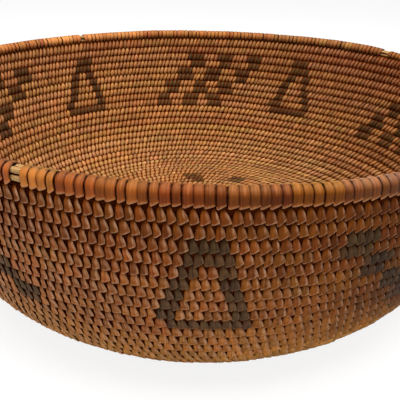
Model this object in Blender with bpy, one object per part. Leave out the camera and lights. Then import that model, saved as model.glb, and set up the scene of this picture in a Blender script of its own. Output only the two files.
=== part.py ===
"""Coiled bowl basket.

One long bundle of grass stems is wound in a spiral from a knot at the centre of the floor to the
rim. Sewing strands bind each turn to the one below it, and twenty-five strands are wrapped
closely round the last turn to finish the rim. Lengths are in metres, +Z is up, and the origin is
on the axis at the underside of the floor.
"""

import math

import bmesh
import bpy
import numpy as np
from mathutils import Vector

# Side view of the bowl, along the middle of the wall's thickness, from the centre outwards
FLOOR_RADIUS = 0.1075
HIP_RADIUS = 0.038
HIP_ANGLE = math.radians(52.0)
BELLY_RADIUS = 0.061
BELLY_ANGLE = math.radians(17.2)
SIDE_RADIUS = 0.231
SIDE_ANGLE = math.radians(19.2)

# The coil
ROW_PITCH = 0.00567
ROW_GAP = 0.0006
WALL_THICKNESS = 0.0067
OUTER_FLAT_SHARE = 0.69
INNER_FLAT_SHARE = 0.36
CREST_DROP = 0.0005
GROOVE_DEPTH = 0.0016
CREST_SHARE = 0.5
COIL_END_AZIMUTH = math.radians(76.4)
POINTS_PER_TURN = 24
WALL_TURNS = 22.5
KNOT_TURNS = 1.5

# The wrapped rim
RIM_TURNS = 1
RIM_STITCHES = 300
RIM_STRANDS = 25
STITCHES_PER_BEND = 4
RIM_BUNDLE_RADIUS = 0.00245
RIM_WRAP_RADIUS = 0.0036
VALLEY_SHARE = 0.9
TAPER_STITCHES = 20
TAPER_END_SHARE = 0.4
BARE_STITCHES = 2
# Strands whose last stitches have worn away, each with how many
WORN_STITCHES = {9: 3, 17: 2, 24: 3}
BORE_OVERRUN_BENDS = 0.5

# Free space between pieces that are sewn tight on the real basket
CLEARANCE = 0.0003
SEAM_GAP = 0.0006
WELD_DISTANCE = 0.000003
UPRIGHT_ANGLE = math.radians(1.0)
SAME_WAY_ANGLE = math.radians(20.0)

# Sides of a round tube's section, and how far its flats lie from its middle, as a share
TUBE_SIDES = 6
FLAT_SHARE = math.cos(math.pi / TUBE_SIDES)

# Colours and roughness of the fibres
GRASS_COLOUR = (0.42, 0.25, 0.10)
KNOT_COLOUR = (0.33, 0.19, 0.08)
BUNDLE_COLOUR = (0.58, 0.43, 0.24)
STRAND_COLOURS = ((0.45, 0.22, 0.07), (0.36, 0.16, 0.05), (0.52, 0.28, 0.10))
FIBRE_ROUGHNESS = 0.55
SHARP_ANGLE = math.radians(50.0)


def profile(distance):
    """Radius, height and slope of the wall's middle at a distance from the centre along it."""
    radius = min(distance, FLOOR_RADIUS)
    height = 0.0
    slope = 0.0
    left = max(distance - FLOOR_RADIUS, 0.0)
    arcs = ((HIP_RADIUS, HIP_ANGLE), (BELLY_RADIUS, BELLY_ANGLE), (SIDE_RADIUS, SIDE_ANGLE))
    for index, (bend, angle) in enumerate(arcs):
        last = index == len(arcs) - 1
        turned = left / bend if last else min(left / bend, angle)
        radius += bend * (math.sin(slope + turned) - math.sin(slope))
        height += bend * (math.cos(slope) - math.cos(slope + turned))
        slope += turned
        left -= bend * turned
    return radius, height + WALL_THICKNESS / 2, slope


WALL_LENGTH = HIP_RADIUS * HIP_ANGLE + BELLY_RADIUS * BELLY_ANGLE + SIDE_RADIUS * SIDE_ANGLE
COIL_TURNS = (FLOOR_RADIUS + WALL_LENGTH) / ROW_PITCH
FLOOR_END = RIM_TURNS + WALL_TURNS
KNOT_END = math.floor((COIL_TURNS - KNOT_TURNS) * POINTS_PER_TURN) / POINTS_PER_TURN
RIM_LIFT = (ROW_PITCH - ROW_GAP) / 2 + CLEARANCE + RIM_WRAP_RADIUS * FLAT_SHARE - ROW_PITCH


def azimuth_at(turns_left):
    """Angle from +Y towards +X. The coil winds clockwise, seen from above, and ends at its azimuth."""
    return COIL_END_AZIMUTH - 2 * math.pi * turns_left


def on_wall(turns_left, out=0.0, up=0.0):
    """Point of the coil with some turns left to its end, moved out of the wall or up along it."""
    radius, height, slope = profile((COIL_TURNS - turns_left) * ROW_PITCH)
    radius += out * math.sin(slope) + up * math.cos(slope)
    height += up * math.sin(slope) - out * math.cos(slope)
    azimuth = azimuth_at(turns_left)
    return Vector((radius * math.sin(azimuth), radius * math.cos(azimuth), height))


def slope_at(turns_left):
    return profile((COIL_TURNS - turns_left) * ROW_PITCH)[2]


def turn_share(length, turns_left):
    """Share of a turn that a length along the coil takes up there."""
    radius = profile((COIL_TURNS - turns_left) * ROW_PITCH)[0]
    return length / (2 * math.pi * radius)


def fibre(name, colour):
    material = bpy.data.materials.new(name)
    material.use_nodes = True
    shader = material.node_tree.nodes["Principled BSDF"]
    shader.inputs["Base Color"].default_value = (*colour, 1.0)
    shader.inputs["Roughness"].default_value = FIBRE_ROUGHNESS
    shader.inputs["Metallic"].default_value = 0.0
    return material


def start_scene():
    for item in list(bpy.data.objects):
        bpy.data.objects.remove(item, do_unlink=True)
    collections = {}
    for name in ("coiled_basket", "guides"):
        collections[name] = bpy.data.collections.new(name)
        bpy.context.scene.collection.children.link(collections[name])
    return collections


def as_guide(item):
    item.hide_render = True
    item.display_type = "WIRE"


def coil_section(guides):
    """Section of one row: flat where it meets the next rows, with a crest on each face.

    The outer face is the fuller one, and its crest lies low, as the edges of its stitches do.
    """
    data = bpy.data.curves.new("row_section", "CURVE")
    data.dimensions = "2D"
    half_height = (ROW_PITCH - ROW_GAP) / 2
    half_width = WALL_THICKNESS / 2
    outer = half_width * OUTER_FLAT_SHARE
    inner = half_width * INNER_FLAT_SHARE
    outline = ((half_width, 0), (inner, half_height), (-outer, half_height),
               (-half_width, -CREST_DROP), (-outer, -half_height), (inner, -half_height))
    spline = data.splines.new("POLY")
    spline.points.add(len(outline) - 1)
    for point, (across, along) in zip(spline.points, outline):
        point.co = (across, along, 0, 1)
    spline.use_cyclic_u = True
    section = bpy.data.objects.new("row_section", data)
    guides.objects.link(section)
    as_guide(section)
    return section


def coil_curve(name, path, radii=None):
    """Open curve through (point, slope) pairs, tilted so that its section follows the wall."""
    data = bpy.data.curves.new(name, "CURVE")
    data.dimensions = "3D"
    data.twist_mode = "Z_UP"
    data.use_fill_caps = True
    data.bevel_resolution = 1
    data.resolution_u = 1
    data.render_resolution_u = 1
    spline = data.splines.new("POLY")
    spline.points.add(len(path) - 1)
    for index, (place, slope) in enumerate(path):
        point = spline.points[index]
        point.co = (*place, 1)
        point.tilt = slope - math.pi / 2
        point.radius = radii[index] if radii else 1.0
    return bpy.data.objects.new(name, data)


def mesh_from(curve, guides):
    """Turn a curve into a closed mesh object with the curve's name, and remove the curve."""
    guides.objects.link(curve)
    bpy.context.view_layer.update()
    evaluated = curve.evaluated_get(bpy.context.evaluated_depsgraph_get())
    mesh = bpy.data.meshes.new_from_object(evaluated)
    name = curve.name
    matrix = curve.matrix_world.copy()
    bpy.data.objects.remove(curve, do_unlink=True)
    body = bmesh.new()
    body.from_mesh(mesh)
    bmesh.ops.remove_doubles(body, verts=body.verts, dist=WELD_DISTANCE)
    bmesh.ops.recalc_face_normals(body, faces=body.faces)
    body.to_mesh(mesh)
    body.free()
    made = bpy.data.objects.new(name, mesh)
    made.matrix_world = matrix
    return made


def floor_row_points(turns_left, core):
    """Groove and crest of the floor's upper face, and the next groove out.

    The crest is flat, other than in the tight turns of the core.
    """
    azimuth = azimuth_at(turns_left)
    centre = (COIL_TURNS - turns_left) * ROW_PITCH
    groove = WALL_THICKNESS - GROOVE_DEPTH
    half = ROW_PITCH / 2
    crests = (0,) if core else (-half * CREST_SHARE, half * CREST_SHARE)
    levels = [(-half, groove), *((crest, WALL_THICKNESS) for crest in crests), (half, groove)]
    points = []
    for offset, height in levels:
        radius = max(centre + offset, 0.0)
        points.append((radius * math.sin(azimuth), radius * math.cos(azimuth), height))
    return points


def spiral_plate(name, first, last, core=False):
    """Wound part of the floor between two places of the coil, as one plate with a flat underside."""
    steps = round((first - last) * POINTS_PER_TURN)
    body = bmesh.new()
    rows = []
    for step in range(steps + 1):
        turns_left = first - step / POINTS_PER_TURN
        rows.append([body.verts.new(place) for place in floor_row_points(turns_left, core)])
    for row, following in zip(rows, rows[1:]):
        for side in range(len(row) - 1):
            body.faces.new((row[side], following[side], following[side + 1], row[side + 1]))
    if core:
        loop = [row[0] for row in rows[:POINTS_PER_TURN + 1]] + [rows[0][1]]
        bmesh.ops.poke(body, faces=[body.faces.new(loop)], offset=GROOVE_DEPTH / 2)
    bmesh.ops.remove_doubles(body, verts=body.verts, dist=WELD_DISTANCE)
    edge = [item for item in body.edges if item.is_boundary]
    skirt = bmesh.ops.extrude_edge_only(body, edges=edge)["geom"]
    for item in skirt:
        if isinstance(item, bmesh.types.BMVert):
            item.co.z = 0
    lower = [item for item in skirt if isinstance(item, bmesh.types.BMEdge) and item.is_boundary]
    bmesh.ops.triangle_fill(body, edges=lower, use_beauty=True)
    bmesh.ops.recalc_face_normals(body, faces=body.faces)
    mesh = bpy.data.meshes.new(name)
    body.to_mesh(mesh)
    body.free()
    return bpy.data.objects.new(name, mesh)


def shrink_edge(item, distance):
    """Draw the plate's upright edge faces in, so that it keeps clear of its neighbours."""
    body = bmesh.new()
    body.from_mesh(item.data)
    body.normal_update()
    upright = math.sin(UPRIGHT_ANGLE)
    same_way = math.cos(SAME_WAY_ANGLE)
    moves = {}
    for face in body.faces:
        if abs(face.normal.z) < upright:
            for vertex in face.verts:
                known = moves.setdefault(vertex, [])
                if all(face.normal.dot(other) < same_way for other in known):
                    known.append(face.normal.copy())
    for vertex, normals in moves.items():
        for normal in normals:
            vertex.co -= normal * distance
    body.to_mesh(item.data)
    body.free()


def add_piece(item, collection, material):
    item.data.materials.clear()
    item.data.materials.append(material)
    collection.objects.link(item)
    return item


def smooth(item):
    item.data.shade_smooth()
    item.data.set_sharp_from_angle(angle=SHARP_ANGLE)


def make_wall_coil(collections, section):
    seam = turn_share(SEAM_GAP, FLOOR_END)
    count = round(WALL_TURNS * POINTS_PER_TURN)
    places = [FLOOR_END - seam] + [FLOOR_END - step / POINTS_PER_TURN for step in range(1, count)]
    places.append(RIM_TURNS + turn_share(SEAM_GAP, RIM_TURNS))
    curve = coil_curve("wall_coil", [(on_wall(place), slope_at(place)) for place in places])
    curve.data.bevel_mode = "OBJECT"
    curve.data.bevel_object = section
    wall = mesh_from(curve, collections["guides"])
    smooth(wall)
    return add_piece(wall, collections["coiled_basket"], fibre("sewn_grass", GRASS_COLOUR))


def rim_share(turns_left):
    """How thick the rim is, as a share: full, then thinning to its end."""
    stitches_left = turns_left * RIM_STITCHES
    thinned = max(1 - stitches_left / TAPER_STITCHES, 0.0)
    return 1 - (1 - TAPER_END_SHARE) * thinned


def rim_place(turns_left):
    """Centre of the rim, seated on the row below, and the slope there."""
    seated = RIM_LIFT - (1 - rim_share(turns_left)) * RIM_WRAP_RADIUS * FLAT_SHARE
    return on_wall(turns_left, up=seated), slope_at(turns_left)


def rim_curve(name, places, radius, valleys=None):
    radii = [rim_share(place) for place in places]
    if valleys:
        radii = [share * VALLEY_SHARE if low else share for share, low in zip(radii, valleys)]
    curve = coil_curve(name, [rim_place(place) for place in places], radii)
    curve.data.bevel_depth = radius
    return curve


def make_rim_coil(collections):
    bends = RIM_STITCHES // STITCHES_PER_BEND
    places = [RIM_TURNS * (1 - step / bends) for step in range(bends + 1)]
    curve = rim_curve("rim_coil", places, RIM_BUNDLE_RADIUS)
    return add_piece(curve, collections["coiled_basket"], fibre("grass_bundle", BUNDLE_COLOUR))


def strand_places(number):
    """Places of one strand's valleys and crests along the rim, and which of them are valleys."""
    per_strand = RIM_STITCHES // RIM_STRANDS
    first = (number - 1) * per_strand
    last = first + per_strand - WORN_STITCHES.get(number, 0)
    if number == RIM_STRANDS:
        last -= BARE_STITCHES
    seam = turn_share(CLEARANCE, 0) / 2
    places = []
    valleys = []
    for half in range(2 * first, 2 * last + 1):
        places.append(1 - half / (2 * RIM_STITCHES))
        valleys.append(half % 2 == 0)
    places[0] -= seam
    places[-1] += seam
    return places, valleys


def make_rim_strand(number, collections, materials):
    """One strand wrapped round the rim: a rib for each turn, hollow where the bundle runs."""
    name = f"rim_strand_{number:02d}"
    places, valleys = strand_places(number)
    strand = mesh_from(rim_curve(name, places, RIM_WRAP_RADIUS, valleys), collections["guides"])
    bend = STITCHES_PER_BEND / RIM_STITCHES
    first = math.ceil(places[0] / bend + BORE_OVERRUN_BENDS)
    last = math.floor(places[-1] / bend - BORE_OVERRUN_BENDS)
    inner = [step * bend for step in range(first, last - 1, -1)]
    bore_radius = RIM_BUNDLE_RADIUS + CLEARANCE / FLAT_SHARE
    bore = mesh_from(rim_curve(name + "_bore", inner, bore_radius), collections["guides"])
    collections["guides"].objects.link(bore)
    as_guide(bore)
    cut = strand.modifiers.new("bore", "BOOLEAN")
    cut.operation = "DIFFERENCE"
    cut.solver = "EXACT"
    cut.object = bore
    smooth(strand)
    return add_piece(strand, collections["coiled_basket"], materials[number % len(materials)])


def least_gap(item):
    """Least gap of the wound tube to itself, between corners at least half a turn apart."""
    bpy.context.view_layer.update()
    evaluated = item.evaluated_get(bpy.context.evaluated_depsgraph_get())
    mesh = evaluated.to_mesh()
    corners = np.empty(len(mesh.vertices) * 3)
    mesh.vertices.foreach_get("co", corners)
    evaluated.to_mesh_clear()
    corners = corners.reshape(-1, 3)
    rings = len(corners) // TUBE_SIDES
    corners = corners[:rings * TUBE_SIDES].reshape(rings, TUBE_SIDES, 3)
    least = math.inf
    for ring in range(rings - POINTS_PER_TURN - 1):
        near = corners[ring]
        far = corners[ring + POINTS_PER_TURN - 1:ring + POINTS_PER_TURN + 2].reshape(-1, 3)
        gaps = np.linalg.norm(near[:, None] - far[None], axis=2)
        least = min(least, gaps.min())
    return least


def main():
    collections = start_scene()
    section = coil_section(collections["guides"])
    knot = spiral_plate("start_knot", KNOT_END + 1, KNOT_END, core=True)
    shrink_edge(knot, CLEARANCE / 2)
    add_piece(knot, collections["coiled_basket"], fibre("start_fibre", KNOT_COLOUR))
    base = spiral_plate("base_coil", KNOT_END, FLOOR_END)
    shrink_edge(base, CLEARANCE / 2)
    add_piece(base, collections["coiled_basket"], fibre("floor_grass", GRASS_COLOUR))
    for item in (knot, base):
        smooth(item)
    wall = make_wall_coil(collections, section)
    make_rim_coil(collections)
    materials = [fibre(f"rim_fibre_{index + 1}", colour)
                 for index, colour in enumerate(STRAND_COLOURS)]
    for number in range(1, RIM_STRANDS + 1):
        make_rim_strand(number, collections, materials)
    print(f"least gap of wall_coil to itself: {least_gap(wall) * 1000:.2f} mm")


main()
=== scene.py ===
"""Looks of the coiled bowl basket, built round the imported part.

Every stitch is a closed band of its own, laid over the coil that it binds. Lengths are in metres
unless a comment says otherwise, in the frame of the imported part: +Z is up, and the origin is on
the axis under the floor. A place on the coil is given in turns left to its end, on the rim.
"""

import math
from collections import namedtuple

import bpy
import numpy as np
from mathutils import Matrix, Vector


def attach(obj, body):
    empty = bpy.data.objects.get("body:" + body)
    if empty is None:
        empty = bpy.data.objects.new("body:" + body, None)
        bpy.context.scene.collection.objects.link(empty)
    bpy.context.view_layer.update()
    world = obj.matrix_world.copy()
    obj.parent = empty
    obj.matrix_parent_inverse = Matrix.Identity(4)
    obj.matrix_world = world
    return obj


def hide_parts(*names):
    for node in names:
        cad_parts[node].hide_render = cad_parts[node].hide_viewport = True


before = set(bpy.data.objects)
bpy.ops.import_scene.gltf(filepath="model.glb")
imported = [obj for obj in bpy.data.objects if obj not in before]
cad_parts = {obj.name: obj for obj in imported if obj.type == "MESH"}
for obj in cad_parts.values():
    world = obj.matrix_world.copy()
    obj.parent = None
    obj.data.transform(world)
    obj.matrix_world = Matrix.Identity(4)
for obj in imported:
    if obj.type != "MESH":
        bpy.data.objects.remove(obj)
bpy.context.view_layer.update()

MM = 0.001
SEED = 20

# Side view of the wall's middle: a flat floor, then three arcs
FLOOR_RADIUS = 0.1075
HIP_RADIUS = 0.038
HIP_ANGLE = math.radians(52.0)
BELLY_RADIUS = 0.061
BELLY_ANGLE = math.radians(17.2)
SIDE_RADIUS = 0.231
SIDE_ANGLE = math.radians(19.2)
WALL_ARCS = ((HIP_RADIUS, HIP_ANGLE), (BELLY_RADIUS, BELLY_ANGLE), (SIDE_RADIUS, SIDE_ANGLE))
WALL_THICKNESS = 0.0067
RESTING_HEIGHT = 0.00003

# Coil, and where its pieces start, in turns left to its end
ROW_PITCH = 0.00567
COIL_TURNS = (FLOOR_RADIUS + sum(bend * angle for bend, angle in WALL_ARCS)) / ROW_PITCH
COIL_END_AZIMUTH = math.radians(76.4)
RIM_START = 1.0
WALL_START = 23.5
BASE_START = 40.4167
STITCHES_START = 41.25
BUNDLE_START = 42.4
WALL_BUNDLE_END = 1.004

# Uneven rows: waves round the bowl and along the wall (in a metre), phase and size (mm)
UP_WAVES = (
    (3, 31.0, 0.4, 0.16),
    (7, -47.0, 1.9, 0.12),
    (13, 83.0, 4.0, 0.08),
    (29, 140.0, 2.2, 0.05),
)
OUT_WAVES = (
    (4, 0.0, 1.92, 0.28),
    (5, -38.0, 2.7, 0.16),
    (11, 71.0, 0.2, 0.12),
    (23, -160.0, 5.1, 0.08),
)
UNEVEN_SLOPES = (math.radians(20), math.radians(60))
NEAREST_CENTRE = 0.0002

# Sags of the far rows: azimuth and width (degrees), depth, and the turns over which each sets in
SAGS = ((-30.0, 45.0, 0.0012, (0.5, 1.5)), (30.0, 34.0, 0.0042, (0.2, 6.5)))
SAG_FADES = (13.0, 30.0)

# Rim: the last turn of the coil, with a tapered end and some wraps worn away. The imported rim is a
# tube of a few sides, on which it was seated
RIM_LIFT = 0.000283
RIM_WRAP_RADIUS = 0.0036
RIM_TUBE_SIDES = 6
RIM_STITCHES = 300
RIM_STRANDS = 25
TAPER_STITCHES = 20
TAPER_END_SHARE = 0.4
LOST_STITCHES = (104, 203, 284, 285, 298, 299)
BARE_STITCHES = (0.45, 0.9)
RINGS_PER_STITCH = 3

# Stems in the rim: up and out of its middle and radius (mm), and how they wander: size (mm), waves
# in the turn, more of them for each next stem, and phase
RIM_STEMS = ((1.35, 1.05, 1.15), (1.15, -1.15, 1.2), (-1.05, 1.25, 1.2), (-1.25, -1.0, 1.15))
STEM_WANDER = ((0.12, 40, 7, 1), (0.08, 170, 0, 2))
STEM_SIDES = 8

# Bundles inside the stitches: half heights and half depths, and the sides of their section
BUNDLE_TALL = 0.00290
TOP_ROW_TALLER = 0.00035
TOP_ROW_END = 2
BUNDLE_DEEP = 0.0023
BUNDLE_SIDES = 16
BUNDLE_FULLNESS = 4
RIM_BUNDLE_TALL = 0.0026
RIM_BUNDLE_DEEP = 0.0019
RIM_BUNDLE_DROP = 0.0005
RIM_BUNDLE_SIDES = 12

# Stitches in a turn, from each of these turns on, with half a one more that staggers the rows. On
# the floor three rows share one number
STITCHES_PER_TURN = ((1.0, 300.5), (6.2, 285.5), (10.4, 240.5), (18.3, 192.5), (21.0, 182.5),
                     (23.4, 148.5), (26.4, 137.5))
FLOOR_STITCHES_FROM = 29.4
FLOOR_BAND_TURNS = 3
FLOOR_STITCH_PITCH = 0.0039
FEWEST_STITCHES = 6
STAGGER = 0.5
SMALLEST_RADIUS = 0.003

# How single stitches vary: shares of their width, lean and slant, how proud they lie (mm), the
# most that a chance may be, and places of their fibres in the noise
NARROWING = 0.06
LEAN_CHANGE = 0.35
SLANT_CHANGE = 0.25
PROUD_OUTSIDE = 0.10
PROUD_INSIDE = 0.08
CHANCE_LIMITS = (-2, 2)
FIBRE_PLACES = (0, 90)

# Slant (mm) and looseness (share of the pitch) of the stitches
WALL_SLANT = 1.7
WALL_LOOSE = 0.07
RIM_SLANT = 1.15
RIM_LOOSE = 0.06

# Away from the middle of the near side, the wall's stitches slant more to the right, and slant
# less and lean more to the left
NEAR_AZIMUTH = 180
SIDE_WIDTH = 40
RIGHT_SLANT_GAIN = 0.5
LEFT_SLANT_LOSS = 0.9
LEFT_LEAN_GAIN = 0.3

# Lean of the inner legs at a height (mm), its swing from side to side and its change by chance
INNER_LEAN = 0.23
INNER_LEAN_SWING = 0.10
INNER_LEAN_CHANGE = 0.05
INNER_LEAN_HEIGHT = 3
INNER_LEG_FROM = -1

# Slopes of the wall over which its stitches turn from flatter ones to full ones
FLAT_SLOPES = (math.radians(5), math.radians(50))
FLAT_LOSS = 0.03

# Stations of a wall stitch, from the end of its outer leg over the coil to the end of its inner
# leg: up the wall and out of it (mm), half width, lean and slant (shares), crown (mm), brightness
# and crest. The brightness is painted light and shade: a painted highlight on the lip, and painted
# shade towards the tucked ends, where the coils above and below shade them
WALL_STATIONS = np.array((
    (-2.30, 2.20, 0.45, 0.02, 0.9, 0.16, 0.35, 0.0),
    (-2.80, 3.22, 0.485, 0.02, 1.0, 0.16, 1.10, 1.5),
    (-2.45, 3.20, 0.49, 0.01, 0.95, 0.22, 1.05, 0.96),
    (-1.80, 2.88, 0.482, 0.0, 0.70, 0.38, 0.97, 0.78),
    (-0.90, 2.80, 0.452, -0.04, 0.40, 0.52, 1.02, 0.86),
    (0.20, 2.72, 0.40, -0.08, 0.15, 0.58, 1.12, 0.95),
    (1.15, 2.45, 0.305, -0.12, 0.0, 0.56, 1.12, 0.90),
    (1.95, 1.95, 0.175, -0.13, 0.0, 0.46, 0.90, 0.5),
    (2.60, 1.10, 0.12, -0.12, 0.0, 0.40, 0.40, 0.0),
    (2.90, -0.60, 0.14, -0.12, 0.0, 0.36, 0.60, 0.1),
    (2.75, -2.05, 0.19, -0.08, 0.0, 0.42, 0.75, 0.36),
    (1.50, -2.66, 0.38, -0.06, 0.0, 0.60, 1.06, 0.95),
    (-0.30, -2.88, 0.465, -0.03, 0.0, 0.68, 1.16, 1.0),
    (-1.95, -2.70, 0.38, 0.0, -0.1, 0.54, 0.98, 0.85),
    (-3.15, -2.36, 0.18, 0.02, -0.2, 0.34, 0.70, 0.36),
))
# Rim stations: their brightness paints shade on the outer face and at the tucked ends, and light on the
# top and the inner face
RIM_STATIONS = np.array((
    (-2.15, 2.20, 0.45, 0.04, 0.9, 0.14, 0.30, 0.0),
    (-2.75, 3.12, 0.47, 0.04, 1.0, 0.12, 0.90, 1.5),
    (-2.38, 3.18, 0.474, 0.04, 0.95, 0.16, 0.85, 1.35),
    (-1.60, 3.02, 0.484, 0.03, 0.6, 0.26, 0.61, 0.7),
    (-0.30, 3.00, 0.484, 0.02, 0.3, 0.32, 0.54, 0.72),
    (1.00, 2.88, 0.484, 0.01, 0.1, 0.36, 0.58, 0.74),
    (1.95, 2.42, 0.484, 0.0, 0.0, 0.40, 0.78, 0.88),
    (2.75, 1.40, 0.484, 0.0, 0.0, 0.42, 0.92, 0.96),
    (3.12, 0.0, 0.484, 0.0, 0.0, 0.42, 0.96, 0.96),
    (2.75, -1.35, 0.484, 0.0, 0.0, 0.40, 1.60, 1.0),
    (1.75, -2.40, 0.486, 0.0, 0.0, 0.36, 2.00, 1.0),
    (0.40, -2.95, 0.490, 0.01, 0.0, 0.28, 1.90, 0.9),
    (-1.10, -3.05, 0.475, 0.03, -0.2, 0.26, 1.10, 0.8),
    (-2.45, -2.70, 0.45, 0.05, -0.3, 0.24, 0.80, 0.5),
    (-3.20, -1.85, 0.38, 0.06, -0.3, 0.22, 0.40, 0.0),
))

# Section of a stitch: across (share of half width), height (share of crown), drop of a slanted
# end (share of the slant), how exposed it is (low values paint shade with dirt on its edges, values
# over 1 a highlight), and where it lies on the map
SECTION_ACROSS = np.array((-1.0, -0.66, 0.0, 0.66, 1.0, 0.0))
SECTION_HEIGHT = np.array((0.0, 0.72, 1.0, 0.72, 0.0, -0.25))
SECTION_SLANT = np.array((-0.34, -0.50, -0.12, 0.30, 0.50, 0.0))
# Crests across the section: the low ones paint shade with dirt on a stitch's edges, in the joints.
# OUTER_CREST paints shade on the left edge of the outer face and a highlight on its right edge, and
# LIP_CREST a highlight across the lip
SECTION_CREST = np.array((0.15, 0.8, 1.0, 0.8, 0.15, 0.0))
LIP_CREST = np.array((0.85, 0.95, 1.0, 0.95, 0.85, 0.3))
RIM_CREST = np.array((0.0, 0.50, 1.0, 0.90, 0.10, 0.0))
OUTER_CREST = np.array((0.45, 0.92, 0.86, 1.28, 1.20, 0.0))
SECTION_MAP = np.array((0.0, 0.22, 0.44, 0.66, 0.88, 0.94, 1.0))

# Kinds of stitch: stations, how exposed the section is on each face, how far its edges roll in and
# out (mm), and the share of the inner face's colours that the outer leg takes as it rises between
# TOP_HEIGHTS (mm)
Kind = namedtuple("Kind", "stations outer_crest inner_crest roll over_top")
WALL_KIND = Kind(WALL_STATIONS, OUTER_CREST, SECTION_CREST, 0.26, 0.0)
RIM_KIND = Kind(RIM_STATIONS, SECTION_CREST, RIM_CREST, 0.08, 0.65)
TOP_HEIGHTS = (1.0, 2.9)

# Maps for baking: margins and shape of a stitch's cell, its ends beyond its sides, and the rings,
# margin and height of a tube's strips with the place of its caps
CELL_MARGIN = np.array((0.10, 0.12))
CELL_SHAPE = 1.6
CELL_END = 0.06
STRIP_RINGS = 24
STRIP_MARGIN = 0.05
STRIP_HEIGHT = 0.96
CAP_SPOTS = np.array(((0.2, 0.99), (0.3, 0.99), (0.3, 0.97), (0.2, 0.97)))

SHARP_ANGLE = math.radians(58)

# Tones of the strands, linear. A run of stitches has one tone: its shortest length, the length it
# stays under, and the change from stitch to stitch
WALL_TONES = np.array((
    (0.52, 0.196, 0.023),
    (0.56, 0.235, 0.034),
    (0.44, 0.142, 0.016),
    (0.50, 0.210, 0.021),
    (0.42, 0.122, 0.015),
    (0.55, 0.210, 0.036),
))
WALL_RUNS = (8, 24, 0.13)
RIM_TONES = np.array((
    (0.240, 0.056, 0.008),
    (0.175, 0.032, 0.006),
    (0.215, 0.060, 0.009),
    (0.150, 0.026, 0.006),
    (0.290, 0.088, 0.014),
))
RIM_RUNS = (1, 5, 0.16)
DARK_TONES = np.array((
    (0.091, 0.037, 0.010),
    (0.073, 0.028, 0.009),
    (0.103, 0.046, 0.011),
    (0.065, 0.030, 0.008),
))
DARK_RUNS = (3, 9, 0.12)
TONE_BLEND = 0.5
RUN_CHANGE = 0.06
HUE_CHANGE = 0.25
TONE_LIMITS = (0.75, 1.3)

# Rim wraps with a tone of their own, and how far the others keep to the mean tone
MEAN_TONE_SHARE = 0.3
FRESH_STITCHES = (100, 101, 102, 103)
FRESH_TONE = np.array((0.30, 0.098, 0.013))
FRESH_CHANGE = (0.9, 1.1)
GOLDEN_STITCHES = (73, 74, 75, 76, 77)
GOLDEN_TONE = np.array((0.285, 0.075, 0.0065))

# Painted shade on the grass stems under wraps, the colour of the stems at the start knot, and
# painted light on the bundles' inner side
COVERED_SHADE = np.array((0.13, 0.045, 0.024))
KNOT_TINT = np.array((0.55, 0.38, 0.28))
INNER_PAINTED_LIGHT = 3.0
INNER_PAINTED_LIGHT_BELOW = 0.2

# Shares of the tones on each face, and what height and side change in them: an aged colour, with
# painted shade on the right side, on the near right and under the far rim on the right
NEAR_RIM_TURNS = (1.0, 9.0)
LOW_TURNS = (10.0, 19.0)
OUTER_SHARE = np.array((0.545, 0.405, 0.265))
OUTER_RIM_LOSS = np.array((0.20, 0.19, 0.17))
OUTER_LOW_GAIN = np.array((0.37, 0.60, 0.80))
LOW_SIDE_GAIN = 1.3
LOW_SIDE_MOST = 0.25
INNER_SHARE = np.array((0.77, 0.88, 1.85))
INNER_RIM_LOSS = np.array((0.04, 0.10, 0.20))
INNER_LOW_LOSS = np.array((0.06, 0.03, 0.06))
INNER_SIDE_LOSS = 0.10
INNER_RIGHT_LOSS = np.array((0.0, 0.09, 0.16))
# Painted shade under the far rim on the right: turns over which it fades, and what it takes from the
# inner tones
UNDER_RIM_SHADE_TURNS = (1.5, 6.0)
UNDER_RIM_SHADE_LOSS = np.array((0.12, 0.32, 0.20))
# Painted light and shade across the bowl, on both faces: darkest at this azimuth, on the right, and
# lighter opposite it, on the left
SHADED_SIDE_AZIMUTH = math.radians(85)
OUTER_SIDE_LIGHTING = 0.20
INNER_SIDE_LIGHTING = 0.10

# Painted shade on the near right (azimuth and width in degrees, depth), and where strands are less
# rubbed: under that painted shade, and near the rim
NEAR_RIGHT_SHADE = (135, 26)
NEAR_RIGHT_SHADE_DEPTH = 0.76
NEAR_RIGHT_SHADE_ON_WEAR = 0.5
RIM_UNRUBBED = 0.12
DARK_LEAST = 0.4

# Rim: shares of its tones and of its inner face, then patches by azimuth and width (degrees) that
# make it lighter or darker there, and what each adds to the tones, to the outer face and to the inner
# one
RIM_SHARE = np.array((0.97, 0.93, 0.86))
RIM_INNER_SHARE = np.array((0.98, 1.48, 2.5))
RIM_PATCHES = (
    (208, 20, (-0.02, 0.02, 0.5), 2.3, (-0.45, -0.45, -0.45)),
    (145, 18, (0.12, 0.5, 2.4), 0.0, (0.0, 0.12, 0.3)),
    (-40, 25, (0.0, 0.0, 0.0), 0.0, (0.48, 0.52, 0.80)),
    (0, 20, (0.0, 0.0, 0.0), 0.0, (0.14, 0.14, 0.14)),
    (38, 22, (0.0, 0.0, 0.0), 0.0, (-0.28, -0.18, -0.02)),
)

# Dark figures, on rows 3 to 10 under the rim: bells, by azimuth and drift from row to row
# (degrees), and block figures. Widths of bells and blocks are in steps of FIGURE_STEP degrees
BELLS = ((-40.0, -0.25), (32.0, -0.25), (105.0, -0.15), (178.8, 0.0), (252.0, -0.1))
BELL_OUTER = (4, 4.6, 6, 7, 8.2, 9.7, 10.7, 10.2)
BELL_INNER = (0, 0, 2, 3.4, 4.3, 5.4, 6.4, 0)
BLOCK_AZIMUTHS = (7.7, 80.5, 151.4, 227.1, 290.4)
BLOCK_BANDS = ((-9.9, -0.7, 8.7), (-13.5, -4.7, 5.1), (-18.1, -8.6, -0.3), (-21.4, -12.3, -4.1))
BLOCK_STITCHES = 3.8
FIGURE_STEP = 1.2
FIGURE_TOP_ROW = 3

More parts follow.
